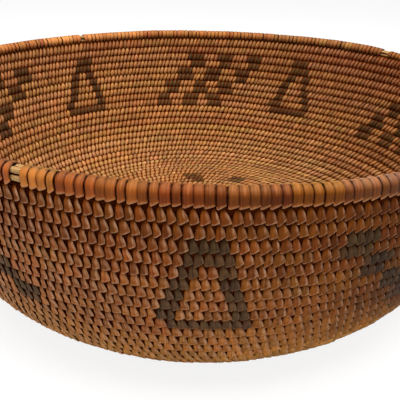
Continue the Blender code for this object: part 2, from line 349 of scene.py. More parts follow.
# Pairs of small dark blocks on the floor: azimuth and half width of each row from the outer one
FLOOR_PAIRS = 5
FLOOR_PAIR_TOP_ROW = 27
FLOOR_PAIR = (((-5.2, 5.0), (-3.0, 5.2), (-0.9, 4.2)), ((20.8, 4.1), (21.4, 3.8)))

# Pieces of the wall and floor: first and last turn, node and slot
ROW_PIECES = (
    ("rows_01", RIM_START, 4.9, "wall_coil", "sewn_coil"),
    ("rows_05", 4.9, 9.0, "wall_coil", "sewn_coil"),
    ("rows_09", 9.0, 12.7, "wall_coil", "sewn_coil"),
    ("rows_13", 12.7, 16.4, "wall_coil", "sewn_coil"),
    ("rows_16", 16.4, 20.0, "wall_coil", "sewn_coil"),
    ("rows_20", 20.0, WALL_START, "wall_coil", "sewn_coil"),
    ("floor_rows_24", WALL_START, 30.0, "base_coil", "sewn_coil"),
    ("floor_rows_30", 30.0, BASE_START, "base_coil", "sewn_coil"),
    ("start_stitches", BASE_START, BUNDLE_START, "start_knot", "start_knot"),
)
FIGURE_PIECES = (
    ("figure_stitches", RIM_START, WALL_START, "wall_coil", "dark_strand"),
    ("floor_figure_stitches", WALL_START, BASE_START, "base_coil", "dark_strand"),
)

# Bundles: first and last turn, rings in a turn, node and slot
BUNDLE_PIECES = (
    ("wall_bundle", WALL_BUNDLE_END, WALL_START, 90, "wall_coil", "sewn_coil"),
    ("base_bundle", WALL_START, BASE_START, 48, "base_coil", "sewn_coil"),
    ("start_bundle", BASE_START, BUNDLE_START, 32, "start_knot", "start_knot"),
)

# Camera, fitted to the photograph's rows and rim
FOCAL_PIXELS = 491.1
PHOTO_PIXELS = 400
CENTRE_PIXELS = (0.5, 0.5)
SENSOR = 36.0
CAMERA_PLACE = (0.0, -0.2979, 0.17145)
CAMERA_PITCH = math.radians(26.35)
CAMERA_ROLL = math.radians(1.5)
CAMERA_REACH = (0.01, 50.0)

# Floor and light
FLOOR_REACH = 12.0
FLOOR_GREY = 0.82
FLOOR_ROUGHNESS = 0.9
SEEN_FLOOR_GREY = 0.22
SEEN_FLOOR_GLOW = 0.86
WORLD_LIGHT = 0.30
LAMP_PLACE = (0.04, -0.22, 1.28)
LAMP_AIM = (0.0, 0.0, 0.05)
LAMP_SIZE = 0.8
LAMP_POWER = 24.0

rng = np.random.default_rng(SEED)


# Places on the bowl


def smooth_step(value, low, high):
    share = np.clip((value - low) / (high - low), 0.0, 1.0)
    return share * share * (3 - 2 * share)


def wrapped(angle):
    """Angle in degrees, from -180 to 180."""
    return (angle + 180.0) % 360.0 - 180.0


def near(azimuth, centre, width):
    """Share that is 1 at a centre and fades over a width (degrees) on both sides of it."""
    return np.exp(-(wrapped(np.degrees(azimuth) - centre) / width) ** 2)


def distance_at(turns):
    """Distance from the centre along the wall."""
    return (COIL_TURNS - turns) * ROW_PITCH


def azimuth_at(turns):
    return COIL_END_AZIMUTH - 2 * math.pi * turns


def profile(distance):
    """Radius, height and slope of the wall's middle at distances from the centre along it."""
    distance = np.asarray(distance, float)
    radius = np.minimum(distance, FLOOR_RADIUS)
    height = np.zeros_like(radius)
    slope = np.zeros_like(radius)
    left = np.maximum(distance - FLOOR_RADIUS, 0.0)
    for index, (bend, angle) in enumerate(WALL_ARCS):
        turned = left / bend
        if index < len(WALL_ARCS) - 1:
            turned = np.minimum(turned, angle)
        radius = radius + bend * (np.sin(slope + turned) - np.sin(slope))
        height = height + bend * (np.cos(slope) - np.cos(slope + turned))
        slope = slope + turned
        left = left - bend * turned
    return radius, height + WALL_THICKNESS / 2, slope


def wave(azimuth, distance, terms):
    """Smooth unevenness that closes round the bowl."""
    total = np.zeros(np.broadcast(azimuth, distance).shape)
    for turns, along, phase, size in terms:
        total = total + size * np.sin(turns * azimuth + along * distance + phase)
    return total


def sag(azimuth, distance):
    """How far the rows of the far side hang below their even spacing."""
    turns = COIL_TURNS - distance / ROW_PITCH
    total = 0.0
    for centre, width, depth, sets_in in SAGS:
        total = total + depth * near(azimuth, centre, width) * smooth_step(turns, *sets_in)
    return total * (1 - smooth_step(turns, *SAG_FADES))


def place(azimuth, distance, up, out):
    """Points of the wall, up along it and out of it from its middle, with its unevenness."""
    steep = smooth_step(profile(distance)[2], *UNEVEN_SLOPES)
    moved = distance + up
    moved = moved - sag(azimuth, moved)
    moved = np.maximum(moved + steep * MM * wave(azimuth, moved, UP_WAVES), NEAREST_CENTRE)
    out = out + steep * MM * wave(azimuth, moved, OUT_WAVES)
    radius, height, slope = profile(moved)
    radius = radius + out * np.sin(slope)
    height = height - out * np.cos(slope)
    return np.stack([radius * np.sin(azimuth), radius * np.cos(azimuth), height], -1)


# Materials


# Limits between which noise is spread, and crest values over which a strand turns from painted
# shade with dirt to clean, from clean to worn, and from worn to the painted highlight on its lip and
# right edge
NOISE_LIMITS = (0.3, 0.7)
STEM_LIMITS = (0.35, 0.65)
RUB_LIMITS = (0.45, 0.7)
RUB_SHARES = (0.2, 0.75)
DIRT_AND_SHADE_CREST = (0.0, 0.55)
WORN_CREST = (0.72, 1.0)
HIGHLIGHT_CREST = (1.0, 1.45)

# Stretch of the noise across a fibre, along it and from stitch to stitch, how far once round a
# stem is across it (mm a radian), the noise's detail, and changes of tone
STREAK_STRETCH = (1.5, 0.14, 7.3)
HAIR_STRETCH = (6.0, 0.5, 7.3)
STEM_STRETCH = (2.2, 0.05, 1.0)
STEM_ROUND = 2.4
FIBRE_DETAIL = 2.0
STEM_DETAIL = 4.0
BLOTCH_DETAIL = 3.0
HAIR_CHANGE = 0.07
BLOTCH_CHANGE = 0.10
BLOTCH_SCALE = 38.0

# Strength and depth of the relief, and roughness
FIBRE_RELIEF = (0.35, 0.00022)
STEM_RELIEF = (0.6, 0.0004)
SMOOTHER = 0.08
ROUGHER = 0.1
STEM_ROUGHNESS = (0.75, 0.5)


def rgba(red, green, blue):
    return (red, green, blue, 1.0)


def add(tree, kind, values=(), **settings):
    """A node with these values or links on its sockets."""
    item = tree.nodes.new(kind)
    for key, value in settings.items():
        setattr(item, key, value)
    for key, value in dict(values).items():
        if isinstance(value, bpy.types.NodeSocket):
            tree.links.new(value, item.inputs[key])
        else:
            item.inputs[key].default_value = value
    return item


def maths(tree, operation, first, second):
    return add(tree, "ShaderNodeMath", {0: first, 1: second}, operation=operation).outputs[0]


def stretched(tree, vector, shares):
    values = {0: vector, 1: shares}
    return add(tree, "ShaderNodeVectorMath", values, operation="MULTIPLY").outputs[0]


def noise(tree, vector, detail, scale=1.0):
    values = {"Vector": vector, "Detail": detail, "Scale": scale}
    return add(tree, "ShaderNodeTexNoise", values).outputs[0]


def mix(tree, share, first, second, how="MIX"):
    values = {0: share, 6: first, 7: second}
    return add(tree, "ShaderNodeMix", values, data_type="RGBA", blend_type=how).outputs[2]


def ramp(tree, value, limits, first, last):
    """A value that runs from first to last while another runs between its limits."""
    values = {0: value, 1: limits[0], 2: limits[1], 3: first, 4: last}
    return add(tree, "ShaderNodeMapRange", values).outputs[0]


def add_relief(tree, shader, height, strength, depth):
    item = add(tree, "ShaderNodeBump", {"Height": height, "Strength": strength, "Distance": depth})
    tree.links.new(item.outputs[0], shader.inputs["Normal"])


def new_material(name):
    """A material, its node tree and its main shader."""
    material = bpy.data.materials.new(name)
    material.use_nodes = True
    return material, material.node_tree, material.node_tree.nodes["Principled BSDF"]


def fibre_material(name, roughness, gloss, streaks, worn, dirt_and_shade, edge, highlight_share):
    """Split plant fibre: streaks along it, worn crests, a painted highlight on the lip and right edge,
    and painted shade with dirt on the edges and tucked ends.
    """
    material, tree, shader = new_material(name)
    tint_and_painted_light = add(tree, "ShaderNodeAttribute", attribute_name="tint_and_painted_light")
    crest = tint_and_painted_light.outputs["Alpha"]
    lay = add(tree, "ShaderNodeAttribute", attribute_name="fibre").outputs["Vector"]
    streak = noise(tree, stretched(tree, lay, STREAK_STRETCH), FIBRE_DETAIL)
    hair = noise(tree, stretched(tree, lay, HAIR_STRETCH), FIBRE_DETAIL)
    here = add(tree, "ShaderNodeTexCoord").outputs["Object"]
    blotch = noise(tree, here, BLOTCH_DETAIL, BLOTCH_SCALE)
    tone = ramp(tree, streak, NOISE_LIMITS, 1 - streaks, 1 + streaks)
    for pattern, change in ((hair, HAIR_CHANGE), (blotch, BLOTCH_CHANGE)):
        tone = maths(tree, "MULTIPLY", tone, ramp(tree, pattern, NOISE_LIMITS, 1 - change, 1 + change))
    values = {0: tint_and_painted_light.outputs["Color"], 3: tone}
    colour = add(tree, "ShaderNodeVectorMath", values, operation="SCALE").outputs[0]
    # Painted shade with dirt where the crest value is low: in the joints and at the tucked ends
    dirt_and_shade_share = ramp(tree, crest, DIRT_AND_SHADE_CREST, 1.0, 0.0)
    colour = mix(tree, dirt_and_shade_share, colour, mix(tree, 1.0, colour, dirt_and_shade, "MULTIPLY"))
    exposed = ramp(tree, crest, WORN_CREST, 0.0, 1.0)
    rubbed = maths(tree, "MULTIPLY", exposed, ramp(tree, streak, RUB_LIMITS, *RUB_SHARES))
    colour = mix(tree, rubbed, colour, worn)
    # Painted highlight where the crest value is over 1: on the lip and the right edge
    colour = mix(tree, ramp(tree, crest, HIGHLIGHT_CREST, 0.0, highlight_share), colour, edge)
    tree.links.new(colour, shader.inputs["Base Color"])
    rough = ramp(tree, hair, NOISE_LIMITS, roughness - SMOOTHER, roughness + ROUGHER)
    tree.links.new(rough, shader.inputs["Roughness"])
    add_relief(tree, shader, maths(tree, "ADD", streak, hair), *FIBRE_RELIEF)
    shader.inputs["Specular IOR Level"].default_value = gloss
    return material


def stem_material(name, light, dark, gloss):
    """Bundle of dry grass stems."""
    material, tree, shader = new_material(name)
    lay = add(tree, "ShaderNodeAttribute", attribute_name="fibre").outputs["Vector"]
    tint_and_painted_light = add(tree, "ShaderNodeAttribute", attribute_name="tint_and_painted_light").outputs["Color"]
    stems = noise(tree, stretched(tree, lay, STEM_STRETCH), STEM_DETAIL)
    colour = mix(tree, ramp(tree, stems, STEM_LIMITS, 0.0, 1.0), dark, light)
    tree.links.new(mix(tree, 1.0, colour, tint_and_painted_light, "MULTIPLY"), shader.inputs["Base Color"])
    tree.links.new(ramp(tree, stems, NOISE_LIMITS, *STEM_ROUGHNESS), shader.inputs["Roughness"])
    add_relief(tree, shader, stems, *STEM_RELIEF)
    shader.inputs["Specular IOR Level"].default_value = gloss
    return material


# After the worn colour come the painted shade with dirt for joints and tucked ends, and the painted
# highlight for lips and right edges
WALL_FIBRE = fibre_material(
    "wall_fibre", roughness=0.50, gloss=0.06, streaks=0.3, worn=rgba(0.54, 0.315, 0.185),
    dirt_and_shade=rgba(0.33, 0.09, 0.006), edge=rgba(0.44, 0.20, 0.095), highlight_share=0.7)
RIM_FIBRE = fibre_material(
    "rim_fibre", roughness=0.36, gloss=0.04, streaks=0.2, worn=rgba(0.50, 0.17, 0.045),
    dirt_and_shade=rgba(0.14, 0.035, 0.012), edge=rgba(0.40, 0.20, 0.10), highlight_share=0.7)
DARK_FIBRE = fibre_material(
    "dark_fibre", roughness=0.55, gloss=0.10, streaks=0.5, worn=rgba(0.15, 0.085, 0.04),
    dirt_and_shade=rgba(0.4, 0.3, 0.2), edge=rgba(0.17, 0.10, 0.055), highlight_share=0.6)
# Grass inside the stitches, painted near black-red for the shade in the gaps where it shows
SHADED_GRASS = stem_material(
    "shaded_grass", light=rgba(0.078, 0.013, 0.0012), dark=rgba(0.028, 0.004, 0.0005), gloss=0.0)
RIM_GRASS = stem_material(
    "rim_grass", light=rgba(0.62, 0.40, 0.17), dark=rgba(0.34, 0.15, 0.04), gloss=0.03)


# Meshes


def make_mesh(name, corners, quads, colours, fibres, uvs):
    """Mesh of quads, with a colour (tone with painted light and shade) and fibre coordinates at each
    corner and a map for baking.
    """
    mesh = bpy.data.meshes.new(name)
    mesh.vertices.add(len(corners))
    mesh.vertices.foreach_set("co", corners.astype(np.float32).ravel())
    mesh.loops.add(quads.size)
    mesh.loops.foreach_set("vertex_index", quads.astype(np.int32).ravel())
    mesh.polygons.add(len(quads))
    mesh.polygons.foreach_set("loop_start", np.arange(0, quads.size, 4, dtype=np.int32))
    mesh.update(calc_edges=True)
    tint_and_painted_light = mesh.attributes.new("tint_and_painted_light", "FLOAT_COLOR", "POINT")
    tint_and_painted_light.data.foreach_set("color", colours.astype(np.float32).ravel())
    fibre = mesh.attributes.new("fibre", "FLOAT_VECTOR", "POINT")
    fibre.data.foreach_set("vector", fibres.astype(np.float32).ravel())
    layer = mesh.uv_layers.new(name="OFBake")
    layer.uv.foreach_set("vector", uvs.astype(np.float32).ravel())
    mesh.shade_smooth()
    mesh.set_sharp_from_angle(angle=SHARP_ANGLE)
    piece = bpy.data.objects.new(name, mesh)
    bpy.context.scene.collection.objects.link(piece)
    return piece


def dress(piece, material, nodes):
    piece.data.materials.append(material)
    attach(piece, "root")
    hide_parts(*nodes)


def band_quads(stations):
    """Quads of one stitch, and where their corners lie on its map."""
    sides = len(SECTION_ACROSS)
    quads = []
    spots = []
    for station in range(stations - 1):
        low = station / (stations - 1)
        high = (station + 1) / (stations - 1)
        base = station * sides
        for side in range(sides):
            following = (side + 1) % sides
            quads.append((base + side, base + following, base + sides + following, base + sides + side))
            left, right = SECTION_MAP[side], SECTION_MAP[side + 1]
            spots.append(((left, low), (right, low), (right, high), (left, high)))
    last = (stations - 1) * sides
    ends = ((0, 0.0, -CELL_END, (3, 2, 1, 0)), (last, 1.0, 1 + CELL_END, (0, 1, 2, 3)))
    for base, edge, beyond, order in ends:
        left_half = ((0.0, edge), (0.2, beyond), (0.5, beyond), (0.45, edge))
        right_half = ((0.5, beyond), (0.8, beyond), (1.0, edge), (0.55, edge))
        for ring, half in (((0, 1, 2, 5), left_half), ((2, 3, 4, 5), right_half)):
            quads.append(tuple(base + ring[i] for i in order))
            spots.append(tuple(half[i] for i in order))
    return np.array(quads), np.array(spots)


def stitch_quads(count, stations):
    """Quads of every stitch, and where their corners lie on a map with a cell for each stitch."""
    quads, spots = band_quads(stations)
    first_corner = np.arange(count) * stations * len(SECTION_ACROSS)
    every = quads[None] + first_corner[:, None, None]
    columns = math.ceil(math.sqrt(count * CELL_SHAPE))
    rows = math.ceil(count / columns)
    cell = np.stack([np.arange(count) % columns, np.arange(count) // columns], -1)
    inside = CELL_MARGIN + (1 - 2 * CELL_MARGIN) * spots
    uvs = (cell[:, None, None, :] + inside[None]) / np.array([columns, rows])
    return every.reshape(-1, 4), uvs.reshape(-1, 2)


def by_stitch(values):
    return values[:, None, None]


def by_station(values):
    return values[None, :, None]


def stitch_corners(kind, turns, pitch, chance, lift, size):
    """Corners of the stitches at these places of the coil, and their fibre coordinates."""
    up, out, half, lean, slant, crown = kind.stations.T[:6]
    outside = by_station(out > 0)
    run = np.stack([np.gradient(up), np.gradient(out)], -1)
    run /= np.linalg.norm(run, axis=1)[:, None]
    facing_up, facing_out = -run[:, 1], run[:, 0]
    distance = distance_at(turns)
    radius, _, slope = profile(distance)
    flat = by_stitch(1 - smooth_step(slope, *FLAT_SLOPES))
    half = by_station(half)

    across = half * by_stitch(chance["wide"]) * SECTION_ACROSS
    aside = by_stitch(chance["aside"]) + by_station(lean) * by_stitch(chance["lean"])
    inner_up = by_station(np.where(out < INNER_LEG_FROM, up, 0.0))
    aside = aside - inner_up / INNER_LEAN_HEIGHT * by_stitch(chance["lean_in"])
    right = (across + aside) * by_stitch(pitch)

    height = by_station(crown) * SECTION_HEIGHT
    raised = by_station(up) + height * by_station(facing_up)
    raised = raised + by_stitch(chance["slant"]) * by_station(slant) * SECTION_SLANT

    push = np.where(outside, by_stitch(chance["proud"]), by_stitch(chance["proud_in"]))
    reach = by_station(out) + by_station(np.sign(out)) * push * half * 2
    reach = reach + height * by_station(facing_out)
    reach = reach + np.where(outside, kind.roll * (1 - flat) * half * 2 * SECTION_ACROSS, 0.0)
    reach = reach * np.where(outside, 1 - FLAT_LOSS * flat, 1.0)

    raised = raised * by_stitch(size) * MM + by_stitch(lift)
    reach = reach * by_stitch(size) * MM
    azimuth = by_stitch(azimuth_at(turns)) - right / by_stitch(np.maximum(radius, SMALLEST_RADIUS))
    corners = place(azimuth, by_stitch(distance) + np.zeros_like(raised), raised, reach)
    corners[..., 2] = np.maximum(corners[..., 2], RESTING_HEIGHT)

    along = np.concatenate([[0.0], np.cumsum(np.hypot(np.diff(up), np.diff(out)))])
    fibres = (across * by_stitch(pitch) / MM, by_station(along), by_stitch(chance["fibre"]))
    fibres = np.stack(np.broadcast_arrays(*fibres), -1)
    return corners.reshape(-1, 3), fibres.reshape(-1, 3)


def stitch_colours(kind, tones, outer_share, inner_share, rubbed):
    """Colour at each corner: the stitch's tone times the light and shade painted at its station, with
    its crest value as alpha.
    """
    up, out = kind.stations.T[:2]
    painted_light, crest = kind.stations.T[6:]
    outside = out > 0
    inward = by_station(np.where(outside, kind.over_top * smooth_step(up, *TOP_HEIGHTS), 1.0))
    share = outer_share[:, None, :] * (1 - inward) + inner_share[:, None, :] * inward
    # Painted light and shade of each station: lighter on the lip, darker towards the tucked ends
    colour = tones[:, None, :] * by_station(painted_light) * share
    shape = (len(tones), len(up), len(SECTION_ACROSS))
    full = np.broadcast_to(colour[:, :, None, :], (*shape, 3))
    over = np.where(outside[:, None], kind.outer_crest, kind.inner_crest)
    over = np.where(crest[:, None] > 1, LIP_CREST, over)
    alpha = (crest[:, None] * over)[None] * np.where(by_station(outside), by_stitch(rubbed), 1.0)
    alpha = np.broadcast_to(alpha, shape)
    return np.concatenate([full, alpha[..., None]], -1).reshape(-1, 4)


def make_stitches(name, kind, turns, pitch, tones, shares, chance, lift, size, material, nodes):
    corners, fibres = stitch_corners(kind, turns, pitch, chance, lift, size)
    colours = stitch_colours(kind, tones, *shares, chance["rubbed"])
    quads, uvs = stitch_quads(len(turns), len(kind.stations))
    dress(make_mesh(name, corners, quads, colours, fibres, uvs), material, nodes)


def tube_quads(count, sides):
    """Quads of a tube's sides, then of its two ends, which meet at a middle corner of each."""
    ring = np.arange(sides)
    following = (ring + 1) % sides
    base = (np.arange(count - 1) * sides)[:, None]
    quads = np.stack([base + sides + ring, base + sides + following, base + following, base + ring], -1)
    last = (count - 1) * sides
    caps = []
    for side in range(0, sides, 2):
        a, b, c = side, (side + 1) % sides, (side + 2) % sides
        caps.append((a, b, c, count * sides))
        caps.append((last + c, last + b, last + a, count * sides + 1))
    return np.concatenate([quads.reshape(-1, 4), np.array(caps)])


def tube_map(count, sides):
    """Where the corners of a tube's quads lie on its map: strips side by side, caps above them."""
    step = np.arange(count - 1)
    columns = math.ceil((count - 1) / STRIP_RINGS)
    column = (step // STRIP_RINGS)[:, None] + STRIP_MARGIN
    share = np.arange(sides) / sides
    left = (column + (1 - 2 * STRIP_MARGIN) * share) / columns
    right = (column + (1 - 2 * STRIP_MARGIN) * (share + 1 / sides)) / columns
    low = np.broadcast_to(((step % STRIP_RINGS) / STRIP_RINGS)[:, None] * STRIP_HEIGHT, left.shape)
    high = low + STRIP_HEIGHT / STRIP_RINGS
    spots = ((left, high), (right, high), (right, low), (left, low))
    uvs = np.stack([np.stack(spot, -1) for spot in spots], 2).reshape(-1, 2)
    return np.concatenate([uvs, np.tile(CAP_SPOTS, (sides, 1))])


def make_tube(name, turns, middle, radii, sides, material, slot, nodes, fullness=2, inner_light=1.0,
              shade=None):
    """Stem or bundle of stems along the coil. Its middle and radii are up the wall and out of it."""
    count = len(turns)
    angle = 2 * math.pi * np.arange(sides) / sides
    swell = (np.abs(np.cos(angle)) ** fullness + np.abs(np.sin(angle)) ** fullness) ** (-1 / fullness)
    raised = middle[0][:, None] + radii[0][:, None] * (np.cos(angle) * swell)
    reach = middle[1][:, None] + radii[1][:, None] * (np.sin(angle) * swell)
    distance = distance_at(turns)[:, None] + np.zeros_like(raised)
    azimuth = azimuth_at(turns)[:, None] + np.zeros_like(raised)
    corners = place(azimuth, distance, raised, reach)
    middles = corners.mean(1)
    steps = np.linalg.norm(np.diff(middles, axis=0), axis=1)
    along = np.concatenate([[0.0], np.cumsum(steps)]) / MM
    corners = np.concatenate([corners.reshape(-1, 3), middles[:1], middles[-1:]])
    fibres = ((angle * STEM_ROUND)[None, :], along[:, None], np.zeros((count, sides)))
    fibres = np.stack(np.broadcast_arrays(*fibres), -1).reshape(-1, 3)
    fibres = np.concatenate([fibres, fibres[:1], fibres[-1:]])
    # Painted light on the inner side of a bundle, then the colours and painted shade given along it
    light = np.where(np.sin(angle) < INNER_PAINTED_LIGHT_BELOW, inner_light, 1.0)
    light = np.concatenate([np.tile(light, count), (1.0, 1.0)])
    colours = np.repeat(light[:, None], 4, axis=1)
    if shade is not None:
        colours[:-2, :3] *= np.repeat(shade, sides, axis=0)
    piece = make_mesh(name, corners, tube_quads(count, sides), colours, fibres, tube_map(count, sides))
    dress(piece, material, nodes)


# Chance


def chances(count, slant, loose):
    """Chance of each stitch: its joints with the next ones, its tilt and how proud it lies."""
    joint = loose * rng.standard_normal(count + 1).clip(*CHANCE_LIMITS)
    return {
        "wide": (1 + np.diff(joint)) * (1 - NARROWING * rng.random(count) ** 3),
        "aside": (joint[1:] + joint[:-1]) / 2,
        "lean": 1 + LEAN_CHANGE * rng.standard_normal(count),
        "slant": slant * (1 + SLANT_CHANGE * rng.standard_normal(count).clip(*CHANCE_LIMITS)),
        "proud": PROUD_OUTSIDE * rng.standard_normal(count).clip(*CHANCE_LIMITS),
        "proud_in": PROUD_INSIDE * rng.standard_normal(count).clip(*CHANCE_LIMITS),
        "rubbed": np.ones(count),
        "lean_in": np.zeros(count),
        "fibre": rng.uniform(*FIBRE_PLACES, count),
    }


def runs(count, tones, shortest, longest, change):
    """A tone for each stitch: strands of one tone, with a little change from stitch to stitch."""
    tone = np.empty((count, 3))
    start = 0
    while start < count:
        end = min(start + int(rng.integers(shortest, longest)), count)
        blend = rng.dirichlet(np.ones(len(tones)) * TONE_BLEND)
        tone[start:end] = blend @ tones * (1 + RUN_CHANGE * rng.standard_normal())
        start = end
    own = 1 + change * rng.standard_normal((count, 1))
    own = own + HUE_CHANGE * change * rng.standard_normal((count, 3))
    return tone * own.clip(*TONE_LIMITS)


# Floor and wall


def coil_stitches():
    """Place in turns and pitch of each stitch from the first row under the rim to the centre."""
    turns = []
    pitches = []
    position = RIM_START
    while position < STITCHES_START:
        radius = float(profile(distance_at(position))[0])
        per_turn = [many for first, many in STITCHES_PER_TURN if position >= first][-1]
        if position > FLOOR_STITCHES_FROM:
            band = math.floor((position - FLOOR_STITCHES_FROM) / FLOOR_BAND_TURNS) + 0.5
            middle = FLOOR_STITCHES_FROM + band * FLOOR_BAND_TURNS
            row_length = 2 * math.pi * float(profile(distance_at(middle))[0])
            per_turn = max(round(row_length / FLOOR_STITCH_PITCH), FEWEST_STITCHES) + STAGGER
        turns.append(position + 0.5 / per_turn)
        pitches.append(2 * math.pi * radius / per_turn)
        position += 1 / per_turn
    return np.array(turns), np.array(pitches)


def figure_row(turns, centre, top_row):
    """Row of a figure, from 0 at its top, with rows counted at the figure's own azimuth."""
    part = ((math.degrees(COIL_END_AZIMUTH) - centre) % 360.0) / 360.0
    return np.round(turns - part).astype(int) - top_row


def bell(turns, centre, drift):
    """Which stitches are dark in a hollow bell."""
    row = figure_row(turns, centre, FIGURE_TOP_ROW)
    offset = wrapped(np.degrees(azimuth_at(turns)) - centre - drift * row) / FIGURE_STEP
    dark = np.zeros(len(turns), bool)
    for index, (outer, inner) in enumerate(zip(BELL_OUTER, BELL_INNER)):
        inside = (offset >= -outer / 2) & (offset < outer / 2)
        hole = (offset >= -inner / 2) & (offset < inner / 2)
        dark |= (row == index) & inside & ~hole
    return dark


def blocks(turns, centre):
    """Which stitches are dark in a figure of stepped blocks, each two rows high."""
    row = figure_row(turns, centre, FIGURE_TOP_ROW)
    dark = np.zeros(len(turns), bool)
    for band, places in enumerate(BLOCK_BANDS):
        for block in places:
            offset = wrapped(np.degrees(azimuth_at(turns)) - centre - block) / FIGURE_STEP
            inside = (offset >= -BLOCK_STITCHES / 2) & (offset < BLOCK_STITCHES / 2)
            dark |= ((row == 2 * band) | (row == 2 * band + 1)) & inside
    return dark


def floor_block(turns, rows, turned):
    """Which stitches are dark in a small block on the floor, turned by an angle (degrees)."""
    dark = np.zeros(len(turns), bool)
    for index, (centre, half) in enumerate(rows):
        centre += turned
        row = figure_row(turns, centre, FLOOR_PAIR_TOP_ROW)
        dark |= (row == index) & (np.abs(wrapped(np.degrees(azimuth_at(turns)) - centre)) < half)
    return dark


def figures(turns):
    """Which stitches are dark."""
    dark = np.zeros(len(turns), bool)
    for centre, drift in BELLS:
        dark |= bell(turns, centre, drift)
    for centre in BLOCK_AZIMUTHS:
        dark |= blocks(turns, centre)
    for number in range(FLOOR_PAIRS):
        for rows in FLOOR_PAIR:
            dark |= floor_block(turns, rows, 360.0 * number / FLOOR_PAIRS)
    return dark


def patina_and_painted_shade(turns):
    """Shares of the tones on the outer and the inner face, and how rubbed the outer face is, with
    painted shade on the right side, on the near right and under the far rim on the right.
    """
    azimuth = azimuth_at(turns)[:, None]
    turns = turns[:, None]
    near_rim = 1 - smooth_step(turns, *NEAR_RIM_TURNS)
    low = smooth_step(turns, *LOW_TURNS)
    # Painted shade on the inner rows under the far rim, on the right
    corner = 1 - smooth_step(turns, *UNDER_RIM_SHADE_TURNS)
    # Painted shade on the near right, the side away from the light
    near_right_shading = 1 - NEAR_RIGHT_SHADE_DEPTH * (1 - low) * near(azimuth, *NEAR_RIGHT_SHADE)
    # Painted shade on the right side and painted light on the left, as from a lamp on the left
    side_lighting = np.cos(azimuth - SHADED_SIDE_AZIMUTH)
    aside = np.sin(azimuth) ** 2
    right = np.maximum(np.sin(azimuth), 0.0) ** 2
    outer = OUTER_SHARE - near_rim * OUTER_RIM_LOSS
    outer = outer + low * OUTER_LOW_GAIN * (1 + LOW_SIDE_GAIN * np.minimum(aside, LOW_SIDE_MOST))
    outer = outer * (1 - OUTER_SIDE_LIGHTING * side_lighting) * near_right_shading
    inner = INNER_SHARE - near_rim * INNER_RIM_LOSS - low * INNER_LOW_LOSS
    inner = inner * (1 - INNER_SIDE_LOSS * aside) * (1 - right * INNER_RIGHT_LOSS)
    inner = inner * (1 - right * corner * UNDER_RIM_SHADE_LOSS) * (1 - INNER_SIDE_LIGHTING * side_lighting)
    # Under the painted shade on the near right, crests also keep less of their worn colour
    rubbed = (1 - NEAR_RIGHT_SHADE_ON_WEAR * (1 - near_right_shading)) * (1 - RIM_UNRUBBED * near_rim)
    return outer, inner, rubbed[:, 0]


def wall_chances(turns):
    """Chance of the stitches, with the slant and the lean that they have on each side."""
    count = len(turns)
    azimuth = azimuth_at(turns)
    chance = chances(count, WALL_SLANT, WALL_LOOSE)
    left = wrapped(np.degrees(azimuth) - NEAR_AZIMUTH) / SIDE_WIDTH
    chance["slant"] *= 1 - RIGHT_SLANT_GAIN * left.clip(-1, 0) - left.clip(0, LEFT_SLANT_LOSS)
    chance["lean"] *= 1 + LEFT_LEAN_GAIN * left.clip(0, 1)
    chance["lean_in"] = INNER_LEAN + INNER_LEAN_SWING * np.sin(azimuth)
    chance["lean_in"] += INNER_LEAN_CHANGE * rng.standard_normal(count)
    return chance


def build_wall():
    """The stitches of floor and wall, plain ones first and then the dark figures."""
    turns, pitch = coil_stitches()
    dark = figures(turns)
    chance = wall_chances(turns)
    tones = runs(len(turns), WALL_TONES, *WALL_RUNS)
    tones[dark] = runs(int(dark.sum()), DARK_TONES, *DARK_RUNS)
    *shares, chance["rubbed"] = patina_and_painted_shade(turns)
    plain = np.ones_like(tones)
    # Dark stitches dim where strands are less rubbed, and so also under the painted shade on the near
    # right
    dark_share = DARK_LEAST + (1 - DARK_LEAST) * chance["rubbed"][:, None] ** 2 * plain
    for pieces, wanted, (outer, inner), material in (
            (ROW_PIECES, ~dark, shares, WALL_FIBRE),
            (FIGURE_PIECES, dark, (dark_share, plain), DARK_FIBRE)):
        for name, first, last, node, slot in pieces:
            chosen = (turns >= first) & (turns < last) & wanted
            count = int(chosen.sum())
            make_stitches(name, WALL_KIND, turns[chosen], pitch[chosen], tones[chosen],
                          (outer[chosen], inner[chosen]),
                          {key: value[chosen] for key, value in chance.items()},
                          np.zeros(count), np.ones(count), material, [node])


def build_bundles():
    """The bundle inside the stitches, bare at the start knot."""
    for name, first, last, per_turn, node, slot in BUNDLE_PIECES:
        turns = np.linspace(last, first, int((last - first) * per_turn) + 1)
        ones = np.ones(len(turns))
        tall = BUNDLE_TALL + TOP_ROW_TALLER * (turns < TOP_ROW_END)
        look = {"material": SHADED_GRASS, "inner_light": INNER_PAINTED_LIGHT}
        if name == "start_bundle":
            look = {"material": RIM_GRASS, "shade": KNOT_TINT * ones[:, None]}
        make_tube(name, turns, (0 * ones, 0 * ones), (tall, BUNDLE_DEEP * ones), BUNDLE_SIDES,
                  slot=slot, nodes=[node], fullness=BUNDLE_FULLNESS, **look)


# Rim


def rim_share(turns):
    """Share of its full size that the rim has, less towards the tapered end."""
    thinned = np.maximum(1 - turns * RIM_STITCHES / TAPER_STITCHES, 0.0)
    return 1 - (1 - TAPER_END_SHARE) * thinned


def rim_up(turns):
    """Height of the rim's middle over its row's, lower where the rim is thinner."""
    return RIM_LIFT - (1 - rim_share(turns)) * RIM_WRAP_RADIUS * math.cos(math.pi / RIM_TUBE_SIDES)


